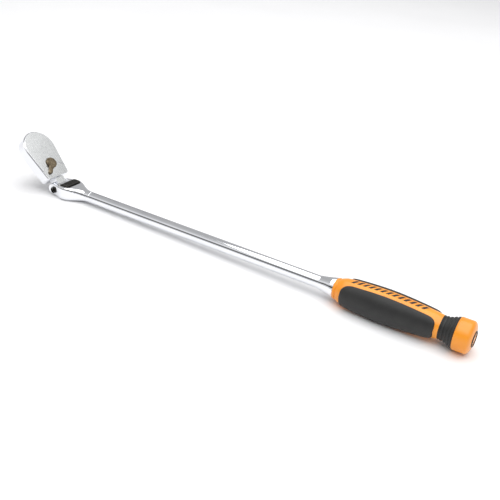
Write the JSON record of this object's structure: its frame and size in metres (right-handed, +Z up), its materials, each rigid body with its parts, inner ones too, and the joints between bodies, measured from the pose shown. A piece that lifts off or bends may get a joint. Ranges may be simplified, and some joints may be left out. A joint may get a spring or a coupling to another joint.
{
  "type": "ratchet wrench",
  "caption": "Long-handled ratchet wrench with a locking flex head, square drive, reversing lever and a cushioned two-tone grip.",
  "frame": {"origin": "centre of the bounding box in X and Y, at its lowest point, which is the surface the wrench lies on", "axes": "+X along the handle towards the end cap, +Y across the wrench along the flex pivot, +Z up"},
  "size_m": [0.4464, 0.0334, 0.05],
  "materials": {
    "polished_chrome": "polished",
    "plain_steel": "satin",
    "dark_steel": "black oxide",
    "spring_steel": "drawn",
    "bronze_lever": "satin bronze",
    "orange_plastic": "semi-gloss",
    "black_rubber": "soft matt",
    "black_plastic": "matt"
  },
  "bodies": {
    "handle": {"handle_shaft": "polished_chrome", "pivot_screw": "dark_steel", "lock_spring": "spring_steel", "grip_core": "orange_plastic", "grip_panel_near": "black_rubber", "grip_panel_far": "black_rubber", "waist_ring": "black_rubber", "end_cap": "orange_plastic", "medallion_ring": "black_plastic", "medallion_disc": "orange_plastic"},
    "head": {"head_housing": "polished_chrome", "cover_plate": "polished_chrome", "cover_screws": "dark_steel", "pawl_pin": "plain_steel"},
    "drive": {"drive_gear": "plain_steel", "detent_spring": "spring_steel"},
    "ball": {"detent_ball": "plain_steel"},
    "lever": {"reversing_lever": "bronze_lever", "lever_seal": "black_rubber", "plunger_spring": "spring_steel"},
    "plunger": {"pawl_plunger": "plain_steel"},
    "pawl": {"pawl": "plain_steel"},
    "lock": {"lock_button": "black_plastic", "lock_bolt": "plain_steel", "lock_pin": "plain_steel"}
  },
  "joints": [
    {"name": "head_flex", "type": "hinge", "parent": "handle", "child": "head", "pos_m": [-0.17782, 0, 0.00628], "axis": [0, 1, 0], "range_deg": [-135, 45]},
    {"name": "drive_spin", "type": "hinge", "parent": "head", "child": "drive", "pos_m": [-0.20763, 0, 0.03501], "axis": [0.6941, 0, 0.7199], "continuous": true},
    {"name": "ball_press", "type": "slide", "parent": "drive", "child": "ball", "axis": [0.7199, 0, -0.6941], "range_m": [0, 0.0008], "stiffness_N_per_m": 1000, "deforming": ["detent_spring"]},
    {"name": "lever_turn", "type": "hinge", "parent": "head", "child": "lever", "pos_m": [-0.1946, 0, 0.02245], "axis": [0.6941, 0, 0.7199], "range_deg": [0, 80]},
    {"name": "plunger_slide", "type": "slide", "parent": "lever", "child": "plunger", "axis": [-0.5515, 0.6428, 0.5317], "range_m": [-0.0003, 0], "stiffness_N_per_m": 500, "deforming": ["plunger_spring"]},
    {"name": "pawl_rock", "type": "hinge", "parent": "head", "child": "pawl", "pos_m": [-0.19863, 0, 0.02634], "axis": [0.6941, 0, 0.7199], "range_deg": [-10, 0]},
    {"name": "lock_slide", "type": "slide", "parent": "handle", "child": "lock", "axis": [-0.9998, 0, -0.0183], "range_m": [0, 0.001], "stiffness_N_per_m": 300, "deforming": ["lock_spring"]}
  ],
  "couplings": [
    {"joint": "pawl_rock", "follows": "lever_turn", "ratio": -0.125}
  ]
}
